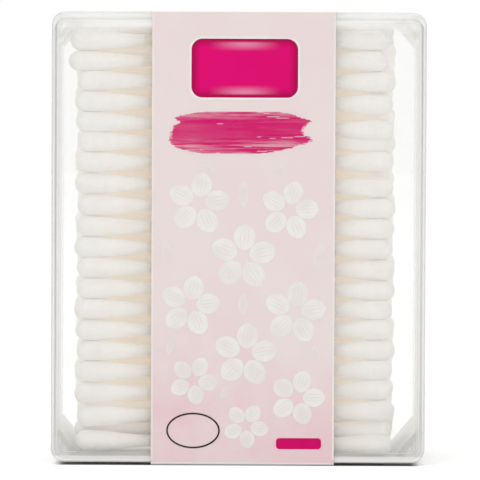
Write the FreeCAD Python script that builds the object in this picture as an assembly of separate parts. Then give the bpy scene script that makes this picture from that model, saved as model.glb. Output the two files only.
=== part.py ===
import FreeCAD, Part
import math
import os

# Clear box full of cotton swabs with a printed paper band round its middle.
# X runs along the swabs, Y from the front (lid) to the back, Z up. The origin is at the
# bottom centre, on the face the band stands on. All sizes in mm.

# case
CASE_WIDTH = 88.0
CASE_HEIGHT = 106.0
CASE_DEPTH = 47.0
WALL = 1.2
CORNER_RADIUS = 3.3
INNER_RADIUS = CORNER_RADIUS - WALL
PANEL_EDGE_RADIUS = 0.5

# corner webs of the tray: diagonal ribs that carry the lid's rim
WEB_RUN = 6.2
WEB_RISE = 7.4
WEB_WIDTH = 2.1
WEB_ROOT = 0.3

# lid
RIM_DEPTH = 3.0
RIM_THICKNESS = 0.9
RIM_CLEARANCE = 0.1

# band
BAND_WIDTH = 43.0
BAND_OFFSET = 1.1
PAPER = 0.3
BAND_CLEARANCE = 0.3
BAND_FOLD_RADIUS = 0.9
OVERLAP_HEIGHT = 14.0

# print on the band's front, each field a thin layer of ink. It is drawn for a case and a band of
# this size and follows theirs.
ARTWORK_WIDTH = 43.0
ARTWORK_HEIGHT = 106.0
INK = 0.06
EDGE_LINE = 0.45
PLAQUE_WIDTH = 25.0
PLAQUE_HEIGHT = 13.8
PLAQUE_RADIUS = 2.6
PLAQUE_RISE = 92.7
PLAQUE_SHIFT = 0.2
PLAQUE_RIM = 0.55
STROKE_WIDTH = 35.4
STROKE_HEIGHT = 9.8
STROKE_RISE = 77.6
STROKE_SHIFT = -0.6
OVAL_WIDTH = 12.6
OVAL_HEIGHT = 8.4
OVAL_LINE = 0.4
OVAL_RISE = 7.6
OVAL_SHIFT = -11.6
TAG_WIDTH = 10.6
TAG_HEIGHT = 2.6
TAG_RADIUS = 0.8
TAG_RISE = 4.6
TAG_SHIFT = 13.2

# blossoms: place from the band's middle, height in the case, size from eye to petal tip
BLOSSOMS = (
    (-10.5, 60.9, 7.4),
    (10.8, 59.4, 7.0),
    (0.0, 48.4, 7.8),
    (-12.4, 36.9, 7.2),
    (12.2, 35.4, 7.4),
    (0.6, 25.4, 7.6),
    (-11.6, 19.4, 5.8),
    (12.8, 15.4, 6.6),
    (0.8, 8.8, 5.4),
)
PETALS = 5
PETAL_WIDTH_SHARE = 0.66
BLOSSOM_EYE = 0.2
BLOSSOM_TURN = 11.0

# leaves: root's place from the band's middle, height in the case, length and heading in degrees
LEAVES = (
    (0.0, 59.9, 6.5, 90.0),
    (17.4, 45.4, 6.5, 80.0),
    (-17.4, 46.4, 6.0, 100.0),
    (0.0, 34.6, 5.2, 90.0),
    (-17.6, 25.4, 4.2, 75.0),
    (17.2, 23.4, 4.4, 95.0),
    (-5.2, 15.0, 3.6, 60.0),
    (6.6, 68.4, 4.4, 15.0),
    (-6.6, 68.6, 4.4, 165.0),
)
LEAF_WIDTH_SHARE = 0.42
LENS_BELLY = 0.5

# brush stroke's outline from its middle, as shares of half its width and half its height
STROKE_OUTLINE = (
    (-0.93, 0.10), (-0.72, 0.62), (-0.46, 0.82), (-0.10, 1.0), (0.34, 0.94),
    (0.86, 0.86), (0.74, 0.52), (0.97, 0.34), (0.90, -0.02), (1.0, -0.24),
    (0.80, -0.52), (0.62, -0.86), (0.10, -0.93), (-0.30, -1.0), (-0.68, -0.84),
    (-0.90, -0.80), (-0.80, -0.46), (-1.0, -0.26),
)

# swabs
END_ROOM = 5.3
HEAD_DIAMETER = 4.7
HEAD_LENGTH = 16.5
HEAD_FULL = 9.0
TIP_RADIUS = 1.3
CROWN_LENGTH = 1.9
STICK_DIAMETER = 2.5
STICK_END_DEPTH = 2.0
SWAB_CENTRE = -0.85
LAYERS = 10
ROW_PITCH = 4.95
LAYER_MARGIN = 0.25
FIRST_ROW_GAP = 1.4
LAST_ROW_GAP = 0.6
STAGGER = 2.45
END_WANDER = 0.4

# derived places
FLOOR = PAPER + BAND_CLEARANCE
BASE = FLOOR + WALL
FRONT = -CASE_DEPTH / 2
BACK = CASE_DEPTH / 2
RIM_FACE = FRONT + WALL
LAYER_FRONT = RIM_FACE + LAYER_MARGIN + HEAD_DIAMETER / 2
LAYER_BACK = BACK - WALL - LAYER_MARGIN - HEAD_DIAMETER / 2
LAYER_PITCH = (LAYER_BACK - LAYER_FRONT) / (LAYERS - 1)
SWAB_LENGTH = CASE_WIDTH - 2 * WALL - 2 * END_ROOM
FIRST_ROW = BASE + FIRST_ROW_GAP + HEAD_DIAMETER / 2
LAST_ROW = FLOOR + CASE_HEIGHT - WALL - LAST_ROW_GAP - HEAD_DIAMETER / 2 - STAGGER
ROWS = int((LAST_ROW - FIRST_ROW) / ROW_PITCH) + 1
BAND_INNER_FRONT = FRONT - BAND_CLEARANCE
PRINT_FACE = BAND_INNER_FRONT - PAPER
BAND_INNER_HEIGHT = CASE_HEIGHT + 2 * BAND_CLEARANCE
BAND_INNER_DEPTH = CASE_DEPTH + 2 * BAND_CLEARANCE
SPREAD_ACROSS = BAND_WIDTH / ARTWORK_WIDTH
SPREAD_UP = CASE_HEIGHT / ARTWORK_HEIGHT
PRINT_SCALE = min(SPREAD_ACROSS, SPREAD_UP)

ALONG_Y = FreeCAD.Vector(0, 1, 0)
ALONG_Z = FreeCAD.Vector(0, 0, 1)


def point(x, y, z):
    return FreeCAD.Vector(x, y, z)


def rounded_panel(width, height, radius, y_from, depth, z_from):
    """A slab in the XZ plane with four rounded corners, from y_from back by depth."""
    slab = Part.makeBox(width, depth, height, point(-width / 2, y_from, z_from))
    corners = [
        edge for edge in slab.Edges
        if abs(edge.Vertexes[0].Point.y - edge.Vertexes[-1].Point.y) > depth / 2
    ]
    return slab.makeFillet(radius, corners)


def face_edges(shape, y):
    """The edges that lie wholly in the plane at y."""
    return [
        edge for edge in shape.Edges
        if all(abs(vertex.Point.y - y) < 1e-6 for vertex in edge.Vertexes)
    ]


def corner_web(side, up):
    """One slanted rib across a corner of the tray, square to the back panel."""
    inner_x = CASE_WIDTH / 2 - WALL
    inner_z = CASE_HEIGHT / 2 - WALL
    middle = FLOOR + CASE_HEIGHT / 2
    outline = (
        (inner_x - WEB_RUN, inner_z + WEB_ROOT),
        (inner_x - WEB_RUN + WEB_WIDTH, inner_z + WEB_ROOT),
        (inner_x + WEB_ROOT, inner_z - WEB_RISE + WEB_WIDTH),
        (inner_x + WEB_ROOT, inner_z - WEB_RISE),
    )
    front = RIM_FACE + RIM_DEPTH
    places = [point(side * x, front, middle + up * z) for x, z in outline]
    face = Part.Face(Part.makePolygon(places + places[:1]))
    return face.extrude(ALONG_Y * (BACK - WALL / 2 - front))


def make_tray():
    """Deep tray, open to the front, with a web across each corner."""
    outer = rounded_panel(
        CASE_WIDTH, CASE_HEIGHT, CORNER_RADIUS, RIM_FACE, BACK - RIM_FACE, FLOOR
    )
    outer = outer.makeFillet(PANEL_EDGE_RADIUS, face_edges(outer, BACK))
    hollow = rounded_panel(
        CASE_WIDTH - 2 * WALL, CASE_HEIGHT - 2 * WALL, INNER_RADIUS,
        RIM_FACE, BACK - WALL - RIM_FACE, BASE,
    )
    tray = outer.cut(hollow)
    webs = [corner_web(side, up) for side in (-1, 1) for up in (-1, 1)]
    return tray.fuse(webs).removeSplitter()


def make_lid():
    """Flat front panel with a plug rim that sits inside the tray's walls."""
    panel = rounded_panel(
        CASE_WIDTH, CASE_HEIGHT, CORNER_RADIUS, FRONT, WALL, FLOOR
    )
    panel = panel.makeFillet(PANEL_EDGE_RADIUS, face_edges(panel, FRONT))
    inset = WALL + RIM_CLEARANCE
    rim = rounded_panel(
        CASE_WIDTH - 2 * inset, CASE_HEIGHT - 2 * inset, INNER_RADIUS - RIM_CLEARANCE,
        RIM_FACE - WALL / 2, RIM_DEPTH + WALL / 2, FLOOR + inset,
    )
    core_inset = inset + RIM_THICKNESS
    core = rounded_panel(
        CASE_WIDTH - 2 * core_inset, CASE_HEIGHT - 2 * core_inset,
        INNER_RADIUS - RIM_CLEARANCE - RIM_THICKNESS,
        RIM_FACE, RIM_DEPTH, FLOOR + core_inset,
    )
    return panel.fuse(rim).cut(core).removeSplitter()


def band_loop(grow, width, x_from):
    """A rounded block round the case, larger than the band's hollow by grow."""
    block = Part.makeBox(
        width,
        BAND_INNER_DEPTH + 2 * grow,
        BAND_INNER_HEIGHT + 2 * grow,
        point(x_from, BAND_INNER_FRONT - grow, FLOOR - BAND_CLEARANCE - grow),
    )
    folds = [
        edge for edge in block.Edges
        if abs(edge.Vertexes[0].Point.x - edge.Vertexes[-1].Point.x) > width / 2
    ]
    return block.makeFillet(BAND_FOLD_RADIUS + grow - PAPER, folds)


def make_band():
    """Closed paper loop, doubled where its ends are glued on the back."""
    x_from = BAND_OFFSET - BAND_WIDTH / 2
    loop = band_loop(PAPER, BAND_WIDTH, x_from).cut(band_loop(0.0, BAND_WIDTH, x_from))
    overlap = Part.makeBox(
        BAND_WIDTH, PAPER, OVERLAP_HEIGHT,
        point(
            x_from,
            BACK + BAND_CLEARANCE + PAPER,
            FLOOR + (CASE_HEIGHT - OVERLAP_HEIGHT) / 2,
        ),
    )
    return loop.fuse(overlap).removeSplitter()


def ink(wire):
    """A closed outline on the band's front face, printed as a thin solid."""
    return Part.Face(wire).extrude(point(0, -INK, 0))


def on_panel(across, up):
    """A point on the band's front face, from its middle line and the foot of the case."""
    return point(BAND_OFFSET + across * SPREAD_ACROSS, PRINT_FACE, FLOOR + up * SPREAD_UP)


def rounded_field(width, height, radius, across, up):
    """A printed rectangle with round corners about a point of the panel."""
    corner = on_panel(across, up) + point(-width / 2, -INK, -height / 2)
    slab = Part.makeBox(width, INK, height, corner)
    corners = [
        edge for edge in slab.Edges
        if abs(edge.Vertexes[0].Point.y - edge.Vertexes[-1].Point.y) > INK / 2
    ]
    return slab.makeFillet(radius, corners)


def heading(angle):
    """Unit step along the panel at this angle from level."""
    turn = math.radians(angle)
    return point(math.cos(turn), 0, math.sin(turn))


def lens(root, length, width, angle):
    """A printed petal or leaf: two arcs from its root along angle."""
    along = heading(angle)
    across = heading(angle + 90)
    tip = root + along * length
    middle = root + along * (length * LENS_BELLY)
    sides = [
        Part.Arc(root, middle + across * (width / 2), tip).toShape(),
        Part.Arc(tip, middle - across * (width / 2), root).toShape(),
    ]
    return ink(Part.Wire(sides))


def make_blossoms():
    """Open five-petal flowers, each petal apart from the next."""
    petals = []
    for across, up, reach in BLOSSOMS:
        size = reach * PRINT_SCALE
        for index in range(PETALS):
            angle = 360.0 / PETALS * index + BLOSSOM_TURN * reach
            root = on_panel(across, up) + heading(angle) * (BLOSSOM_EYE * size)
            length = size * (1 - BLOSSOM_EYE)
            petals.append(lens(root, length, size * PETAL_WIDTH_SHARE, angle))
    return Part.makeCompound(petals)


def make_leaves():
    """Single leaves in the spaces between the flowers."""
    leaves = []
    for across, up, reach, angle in LEAVES:
        length = reach * PRINT_SCALE
        leaves.append(lens(on_panel(across, up), length, length * LEAF_WIDTH_SHARE, angle))
    return Part.makeCompound(leaves)


def make_plaque():
    """Deep pink name plaque, left plain."""
    return rounded_field(PLAQUE_WIDTH, PLAQUE_HEIGHT, PLAQUE_RADIUS, PLAQUE_SHIFT, PLAQUE_RISE)


def make_plaque_rim():
    """White line round the plaque."""
    outer = rounded_field(
        PLAQUE_WIDTH + 2 * PLAQUE_RIM, PLAQUE_HEIGHT + 2 * PLAQUE_RIM,
        PLAQUE_RADIUS + PLAQUE_RIM, PLAQUE_SHIFT, PLAQUE_RISE,
    )
    return outer.cut(make_plaque())


def make_stroke():
    """Deep pink brush stroke under the plaque, frayed at both ends."""
    middle = on_panel(STROKE_SHIFT, STROKE_RISE)
    places = [
        middle + point(across * STROKE_WIDTH / 2, 0, up * STROKE_HEIGHT / 2)
        for across, up in STROKE_OUTLINE
    ]
    return ink(Part.makePolygon(places + places[:1]))


def oval_field(width, height):
    """A printed oval of this size about the ring's centre."""
    centre = on_panel(OVAL_SHIFT, OVAL_RISE)
    ellipse = Part.Ellipse(centre + point(width / 2, 0, 0), centre + point(0, 0, height / 2), centre)
    return ink(Part.Wire(ellipse.toShape()))


def make_oval():
    """Thin black oval ring low on the left."""
    return oval_field(OVAL_WIDTH, OVAL_HEIGHT).cut(
        oval_field(OVAL_WIDTH - 2 * OVAL_LINE, OVAL_HEIGHT - 2 * OVAL_LINE)
    )


def make_tag():
    """Small deep pink tag low on the right."""
    return rounded_field(TAG_WIDTH, TAG_HEIGHT, TAG_RADIUS, TAG_SHIFT, TAG_RISE)


def make_edge_lines():
    """Pale unprinted margin down each edge of the band's front."""
    height = CASE_HEIGHT - 2 * BAND_FOLD_RADIUS
    lines = []
    for side in (-1, 1):
        x = BAND_OFFSET + side * (BAND_WIDTH - EDGE_LINE) / 2 - EDGE_LINE / 2
        lines.append(
            Part.makeBox(
                EDGE_LINE, INK, height, point(x, PRINT_FACE - INK, FLOOR + BAND_FOLD_RADIUS)
            )
        )
    return Part.makeCompound(lines)


def head_profile():
    """Half section of a swab's head along X: a round crown that tapers out onto the stick."""
    radius = HEAD_DIAMETER / 2
    bore = STICK_DIAMETER / 2
    corners = (
        (0, 0),
        (0, TIP_RADIUS),
        (CROWN_LENGTH, radius),
        (HEAD_FULL, radius),
        (HEAD_LENGTH, bore),
        (STICK_END_DEPTH, bore),
        (STICK_END_DEPTH, 0),
    )
    places = [point(x, 0, r) for x, r in corners]
    return Part.makePolygon(places + places[:1])


def make_swab():
    """Stick, left head and right head of one swab, lying along X about the origin."""
    left = Part.Face(head_profile()).revolve(point(0, 0, 0), point(1, 0, 0), 360)
    left.translate(point(-SWAB_LENGTH / 2, 0, 0))
    right = left.copy()
    right.rotate(point(0, 0, 0), ALONG_Z, 180)
    stick_length = SWAB_LENGTH - 2 * STICK_END_DEPTH
    stick = Part.makeCylinder(
        STICK_DIAMETER / 2, stick_length, point(-stick_length / 2, 0, 0), point(1, 0, 0)
    )
    return stick, left, right


def end_shift(layer, row):
    """How far one swab has slipped along X, up to END_WANDER either way."""
    beat = 1.9 * (row + 1) + 4.4 * (layer + 1) + 0.7 * layer * layer
    return END_WANDER * math.sin(beat)


def swab_place(layer, row):
    """Centre of one swab. Every second layer nests in the gaps of the one before."""
    return point(
        SWAB_CENTRE + end_shift(layer, row),
        LAYER_FRONT + layer * LAYER_PITCH,
        FIRST_ROW + row * ROW_PITCH + STAGGER * (layer % 2),
    )


def laid_out(shape, layers, rows):
    """Copies of one piece of a swab, at the place of each swab of these layers and rows."""
    copies = []
    for layer in layers:
        for row in rows:
            copy = shape.copy()
            copy.translate(swab_place(layer, row))
            copies.append(copy)
    return Part.makeCompound(copies)


def main():
    os.makedirs("parts", exist_ok=True)
    nodes = {
        "tray": make_tray(),
        "lid": make_lid(),
        "band": make_band(),
        "print_plaque": make_plaque(),
        "print_plaque_rim": make_plaque_rim(),
        "print_stroke": make_stroke(),
        "print_blossoms": make_blossoms(),
        "print_leaves": make_leaves(),
        "print_oval": make_oval(),
        "print_tag": make_tag(),
        "print_edge_lines": make_edge_lines(),
    }
    stick, left_head, right_head = make_swab()
    for layer in range(0, LAYERS, 2):
        name = f"sticks_{layer + 1:02d}_{layer + 2:02d}"
        nodes[name] = laid_out(stick, (layer, layer + 1), range(ROWS))
    halves = {"lower": range(ROWS // 2), "upper": range(ROWS // 2, ROWS)}
    for layer in range(LAYERS):
        for half, rows in halves.items():
            nodes[f"left_heads_{layer + 1:02d}_{half}"] = laid_out(left_head, (layer,), rows)
            nodes[f"right_heads_{layer + 1:02d}_{half}"] = laid_out(right_head, (layer,), rows)
    for name, shape in nodes.items():
        shape.exportStep(f"parts/{name}.step")


main()
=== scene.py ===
"""Looks of the cotton swab box: clear case, wound cotton swabs and the printed band."""

import logging
import math
from dataclasses import dataclass
from enum import Enum

import bpy
import numpy as np
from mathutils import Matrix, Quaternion, Vector


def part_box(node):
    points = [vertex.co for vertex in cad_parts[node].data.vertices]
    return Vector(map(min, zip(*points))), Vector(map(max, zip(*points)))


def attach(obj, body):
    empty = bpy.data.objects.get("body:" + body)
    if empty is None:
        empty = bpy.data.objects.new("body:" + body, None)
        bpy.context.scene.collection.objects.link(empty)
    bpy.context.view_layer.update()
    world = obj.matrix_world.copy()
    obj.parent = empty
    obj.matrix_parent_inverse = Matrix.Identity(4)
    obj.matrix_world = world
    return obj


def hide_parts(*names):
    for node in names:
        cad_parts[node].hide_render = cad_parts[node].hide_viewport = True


MM = 0.001
CASE_BODY = "case"
BAND_BODY = "sleeve"
LAYER_COUNT = 10
LAYER_SEED = 4100
STROKE_SEED = 77

# The case's outline seen from the front, in millimetres
CASE_HALF_WIDTH = 44.0
CASE_HALF_HEIGHT = 53.0
CASE_MIDDLE = 53.6
CASE_CORNER = 3.3

# The stack of swabs, in metres: where its outer layers end, and where its foot and top open
STACK_DEPTH = (0.0182, 0.0212)
STACK_FOOT = (0.006, 0.012)
STACK_TOP = (0.097, 0.103)

# Places of the factor and the two mixed values among a Mix node's sockets
MIX_COLOUR_INPUTS = (0, 6, 7)
MIX_COLOUR_OUTPUT = 2
MIX_NUMBER_INPUTS = (0, 2, 3)

BLACK = (0.0, 0.0, 0.0)
WHITE = (1.0, 1.0, 1.0)

Socket = bpy.types.NodeSocket
Colour = tuple[float, float, float]
Range = tuple[float, float]
RowShifts = tuple[tuple[int, float], ...]

log = logging.getLogger("swab_box")
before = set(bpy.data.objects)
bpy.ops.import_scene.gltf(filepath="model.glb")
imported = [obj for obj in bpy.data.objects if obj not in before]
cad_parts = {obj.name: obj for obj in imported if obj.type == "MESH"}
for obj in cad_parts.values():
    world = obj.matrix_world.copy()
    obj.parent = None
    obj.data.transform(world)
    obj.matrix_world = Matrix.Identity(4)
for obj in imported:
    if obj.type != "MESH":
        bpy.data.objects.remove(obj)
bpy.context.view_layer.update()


class End(Enum):
    """Which end of a swab a head sits on."""

    LEFT = "left"
    RIGHT = "right"

    @property
    def sign(self) -> float:
        """Minus one on the left, one on the right."""
        return -1.0 if self is End.LEFT else 1.0


class TreeBuilder:
    """Short calls for adding and joining shader nodes in one tree."""

    def __init__(self, tree: bpy.types.NodeTree) -> None:
        """Empties the tree that it goes on to fill."""
        self.tree = tree
        tree.nodes.clear()

    def add(self, kind: str, **values: object) -> bpy.types.Node:
        """Adds one node and sets its properties.

        Args:
            kind: The node's type name.
            **values: Properties of the node.

        Returns:
            The new node.
        """
        node = self.tree.nodes.new(kind)
        for name, value in values.items():
            setattr(node, name, value)
        return node

    def join(self, source: Socket, target: Socket) -> None:
        """Links an output to an input."""
        self.tree.links.new(source, target)

    def feed(self, value: object, target: Socket) -> None:
        """Links a socket to an input, or sets a number or a colour on it.

        Args:
            value: A socket, a number, or a colour of three numbers.
            target: The input to feed.
        """
        if isinstance(value, bpy.types.NodeSocket):
            self.join(value, target)
        elif isinstance(value, tuple):
            target.default_value = (*value, 1.0)
        else:
            target.default_value = value

    def math(self, operation: str, *values: object) -> Socket:
        """Applies one operation to sockets or numbers, from left to right.

        Args:
            operation: The Math node's operation.
            *values: One value, or several to be chained.

        Returns:
            The last node's output.
        """
        node = self.add("ShaderNodeMath", operation=operation)
        for socket, value in zip(node.inputs, values[:2]):
            self.feed(value, socket)
        if len(values) > 2:
            return self.math(operation, node.outputs[0], *values[2:])
        return node.outputs[0]

    def weigh(self, first: Socket, second: Socket, share: float) -> Socket:
        """Adds two values, the first by its share and the second by the rest."""
        rest = self.math("MULTIPLY", second, 1.0 - share)
        return self.math("ADD", self.math("MULTIPLY", first, share), rest)

    def blend(self, factor: object, low: object, high: object) -> Socket:
        """Mixes two colours.

        Args:
            factor: A socket or a number.
            low: Colour, or socket, at factor 0.
            high: Colour, or socket, at factor 1.

        Returns:
            The mixed colour's output.
        """
        node = self.add("ShaderNodeMix", data_type="RGBA")
        for index, value in zip(MIX_COLOUR_INPUTS, (factor, low, high)):
            self.feed(value, node.inputs[index])
        return node.outputs[MIX_COLOUR_OUTPUT]

    def fade(self, factor: object, low: object, high: object) -> Socket:
        """Mixes two numbers.

        Args:
            factor: A socket or a number.
            low: Number, or socket, at factor 0.
            high: Number, or socket, at factor 1.

        Returns:
            The mixed number's output.
        """
        node = self.add("ShaderNodeMix", data_type="FLOAT")
        for index, value in zip(MIX_NUMBER_INPUTS, (factor, low, high)):
            self.feed(value, node.inputs[index])
        return node.outputs[0]

    def span(self, value: Socket, low: float, high: float,
             to_low: float = 0.0, to_high: float = 1.0) -> Socket:
        """Maps a value from one range to another, held within it.

        Args:
            value: The socket to map.
            low: Start of the range read.
            high: End of the range read.
            to_low: Value at the start.
            to_high: Value at the end.

        Returns:
            The mapped value's output.
        """
        node = self.add("ShaderNodeMapRange", interpolation_type="SMOOTHSTEP")
        self.join(value, node.inputs[0])
        for socket, number in zip(node.inputs[1:5], (low, high, to_low, to_high)):
            socket.default_value = number
        return node.outputs[0]

    def noise(self, vector: Socket, scale: object, detail: float = 3.0,
              roughness: float = 0.55) -> Socket:
        """Adds a noise texture.

        Args:
            vector: Where the noise is read.
            scale: A socket or a number.
            detail: Octaves of noise.
            roughness: Weight of the finer octaves.

        Returns:
            The noise value's output.
        """
        node = self.add("ShaderNodeTexNoise")
        inputs = {"Vector": vector, "Scale": scale, "Detail": detail, "Roughness": roughness}
        for name, value in inputs.items():
            self.feed(value, node.inputs[name])
        return node.outputs[0]

    def coordinate(self, name: str = "Object") -> Socket:
        """One output of a Texture Coordinate node, by its name."""
        return self.add("ShaderNodeTexCoord").outputs[name]

    def parts(self, vector: Socket) -> tuple[Socket, Socket, Socket]:
        """Splits a vector.

        Args:
            vector: The vector's socket.

        Returns:
            Its X, Y and Z.
        """
        node = self.add("ShaderNodeSeparateXYZ")
        self.join(vector, node.inputs[0])
        return node.outputs[0], node.outputs[1], node.outputs[2]

    def height(self) -> Socket:
        """The point's height above the floor, in metres."""
        return self.parts(self.coordinate())[2]

    def place(self, stretch: tuple[float, float, float] = (1.0, 1.0, 1.0)) -> Socket:
        """Object coordinates, stretched by a factor along each axis.

        Args:
            stretch: Factors along X, Y and Z.

        Returns:
            The stretched position's output.
        """
        mapping = self.add("ShaderNodeMapping")
        mapping.inputs["Scale"].default_value = stretch
        self.join(self.coordinate(), mapping.inputs["Vector"])
        return mapping.outputs[0]

    def bump(self, height: Socket, strength: float, distance: float) -> Socket:
        """Turns a height into a normal.

        Args:
            height: The height's socket.
            strength: Share of the bump that shows.
            distance: Depth of the relief in metres.

        Returns:
            The normal's output.
        """
        node = self.add("ShaderNodeBump")
        node.inputs["Strength"].default_value = strength
        node.inputs["Distance"].default_value = distance
        self.join(height, node.inputs["Height"])
        return node.outputs[0]


def shader_group(name: str, inputs: dict[str, float],
                 outputs: tuple[str, ...]) -> tuple[TreeBuilder, dict, dict]:
    """Starts a shader node group with named number inputs and outputs.

    Args:
        name: The group's name.
        inputs: Name and default of each input.
        outputs: Name of each output.

    Returns:
        The tree's builder, the input sockets by name and the output sockets by name.
    """
    tree = bpy.data.node_groups.new(name, "ShaderNodeTree")
    for label, value in inputs.items():
        socket = tree.interface.new_socket(label, in_out="INPUT", socket_type="NodeSocketFloat")
        socket.default_value = value
    for label in outputs:
        tree.interface.new_socket(label, in_out="OUTPUT", socket_type="NodeSocketFloat")
    builder = TreeBuilder(tree)
    start = builder.add("NodeGroupInput")
    end = builder.add("NodeGroupOutput")
    ins = {label: start.outputs[label] for label in inputs}
    outs = {label: end.inputs[label] for label in outputs}
    return builder, ins, outs


def build_fibre_group() -> bpy.types.NodeTree:
    """Wound cotton fibres: long soft strands round the swab and fine fluff on top.

    Returns:
        The node group, with outputs Shade, Relief and Warmth.
    """
    build, ins, outs = shader_group(
        "Cotton fibres", {"Strand Scale": 900.0, "Fluff Scale": 5200.0},
        ("Shade", "Relief", "Warmth"))
    even = build.place()
    strands = build.noise(build.place((1.9, 0.7, 0.7)), ins["Strand Scale"], 4.0, 0.62)
    fluff = build.noise(even, ins["Fluff Scale"], 2.0, 0.6)
    clumps = build.noise(even, 260.0, 2.0, 0.5)
    build.join(build.span(strands, 0.36, 0.68), outs["Shade"])
    build.join(build.weigh(strands, fluff, 0.75), outs["Relief"])
    build.join(build.span(clumps, 0.42, 0.66), outs["Warmth"])
    return build.tree


def build_grain_group() -> bpy.types.NodeTree:
    """Grain of coated paper: a soft mottle of tone and a fine tooth.

    Returns:
        The node group, with outputs Mottle, Tooth and Gloss.
    """
    build, ins, outs = shader_group(
        "Paper grain", {"Mottle Scale": 60.0, "Tooth Scale": 2600.0},
        ("Mottle", "Tooth", "Gloss"))
    even = build.place()
    mottle = build.noise(even, ins["Mottle Scale"], 4.0, 0.58)
    build.join(build.span(mottle, 0.34, 0.66), outs["Mottle"])
    build.join(build.noise(even, ins["Tooth Scale"], 3.0, 0.6), outs["Tooth"])
    build.join(build.span(build.noise(even, 420.0, 3.0, 0.6), 0.3, 0.7), outs["Gloss"])
    return build.tree


def build_handling_group() -> bpy.types.NodeTree:
    """Faint marks of moulding and handling on clear plastic: haze and hairline scuffs.

    Returns:
        The node group, with outputs Haze and Ripple.
    """
    build, ins, outs = shader_group(
        "Handling marks", {"Haze Scale": 45.0, "Scuff Scale": 700.0}, ("Haze", "Ripple"))
    even = build.place()
    cloud = build.noise(even, ins["Haze Scale"], 3.0, 0.6)
    scuffs = build.noise(build.place((0.12, 1.0, 1.4)), ins["Scuff Scale"], 2.0, 0.5)
    haze = build.weigh(build.span(cloud, 0.4, 0.75), build.span(scuffs, 0.62, 0.7), 0.7)
    build.join(haze, outs["Haze"])
    build.join(build.noise(even, 38.0, 1.0, 0.4), outs["Ripple"])
    return build.tree


def build_outline_group() -> bpy.types.NodeTree:
    """Depth inward from a rounded outline, and how squarely a face looks front or back.

    Returns:
        The node group, with outputs Depth in millimetres and Face On.
    """
    build, ins, outs = shader_group(
        "Rounded outline",
        {"Half Width": CASE_HALF_WIDTH, "Half Height": CASE_HALF_HEIGHT, "Centre": 0.0,
         "Middle": CASE_MIDDLE, "Corner": CASE_CORNER},
        ("Depth", "Face On"))
    x, _, z = build.parts(build.coordinate())
    across = build.math("SUBTRACT", build.math("DIVIDE", x, MM), ins["Centre"])
    rise = build.math("SUBTRACT", build.math("DIVIDE", z, MM), ins["Middle"])
    over_x, over_z = (
        build.math("SUBTRACT", build.math("ABSOLUTE", spot),
                   build.math("SUBTRACT", ins[half], ins["Corner"]))
        for spot, half in ((across, "Half Width"), (rise, "Half Height")))
    squares = build.math("ADD", build.math("POWER", build.math("MAXIMUM", over_x, 0.0), 2.0),
                         build.math("POWER", build.math("MAXIMUM", over_z, 0.0), 2.0))
    inside = build.math("MINIMUM", build.math("MAXIMUM", over_x, over_z), 0.0)
    reach = build.math("ADD", build.math("SQRT", squares), inside)
    build.join(build.math("SUBTRACT", ins["Corner"], reach), outs["Depth"])
    geometry = build.add("ShaderNodeNewGeometry")
    ahead = build.math("ABSOLUTE", build.parts(geometry.outputs["True Normal"])[1])
    build.join(build.span(ahead, 0.3, 0.9), outs["Face On"])
    return build.tree


def build_scatter_group() -> bpy.types.NodeTree:
    """How deep in the stack a point lies: the mask for painted glow and painted shade, standing in
    for light that white cotton scatters about.

    Returns:
        The node group, with output Inside.
    """
    build, ins, outs = shader_group("Scatter in the stack", {"Outer Layer": 0.06}, ("Inside",))
    _, y, z = build.parts(build.coordinate())
    deep = build.span(build.math("ABSOLUTE", y), *STACK_DEPTH, 1.0, 0.0)
    low = build.span(z, *STACK_FOOT)
    high = build.span(z, *STACK_TOP, 1.0, 0.0)
    covered = build.math("MULTIPLY", low, high, deep)
    build.join(build.math("MAXIMUM", covered, ins["Outer Layer"]), outs["Inside"])
    return build.tree


@dataclass(frozen=True)
class SharedEffects:
    """The shader groups that several finishes use."""

    fibres: bpy.types.NodeTree
    grain: bpy.types.NodeTree
    handling: bpy.types.NodeTree
    outline: bpy.types.NodeTree
    scatter: bpy.types.NodeTree

    @classmethod
    def build(cls) -> "SharedEffects":
        """Builds each group once."""
        return cls(build_fibre_group(), build_grain_group(), build_handling_group(),
                   build_outline_group(), build_scatter_group())


def group_node(build: TreeBuilder, tree: bpy.types.NodeTree, **values: float) -> bpy.types.Node:
    """Places a shader group in a material.

    Args:
        build: The material's tree builder.
        tree: The group to place.
        **values: Its inputs, with underscores for spaces.

    Returns:
        The group's node.
    """
    node = build.add("ShaderNodeGroup", node_tree=tree)
    for name, value in values.items():
        node.inputs[name.replace("_", " ")].default_value = value
    return node


def start_material(name: str) -> tuple[bpy.types.Material, TreeBuilder, bpy.types.Node]:
    """Starts a material with one Principled shader.

    Args:
        name: The material's name.

    Returns:
        The material, its tree builder and the shader node.
    """
    material = bpy.data.materials.new(name)
    material.use_nodes = True
    build = TreeBuilder(material.node_tree)
    output = build.add("ShaderNodeOutputMaterial")
    shader = build.add("ShaderNodeBsdfPrincipled")
    build.join(shader.outputs[0], output.inputs["Surface"])
    return material, build, shader


@dataclass(frozen=True)
class SheetSurface:
    """Gloss and tooth of paper, or of ink on it."""

    shiny: float
    dull: float
    tooth: float = 0.1
    depth: float = 0.00002
    specular: float = 0.1

    def apply(self, build: TreeBuilder, shader: bpy.types.Node, grain: bpy.types.Node) -> None:
        """Gives the shader its gloss and relief from the paper grain.

        Args:
            build: The material's tree builder.
            shader: The Principled shader.
            grain: The paper grain group's node.
        """
        roughness = build.span(grain.outputs["Gloss"], 0.0, 1.0, self.shiny, self.dull)
        relief = build.bump(grain.outputs["Tooth"], self.tooth, self.depth)
        build.join(roughness, shader.inputs["Roughness"])
        build.join(relief, shader.inputs["Normal"])
        shader.inputs["Specular IOR Level"].default_value = self.specular


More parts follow.
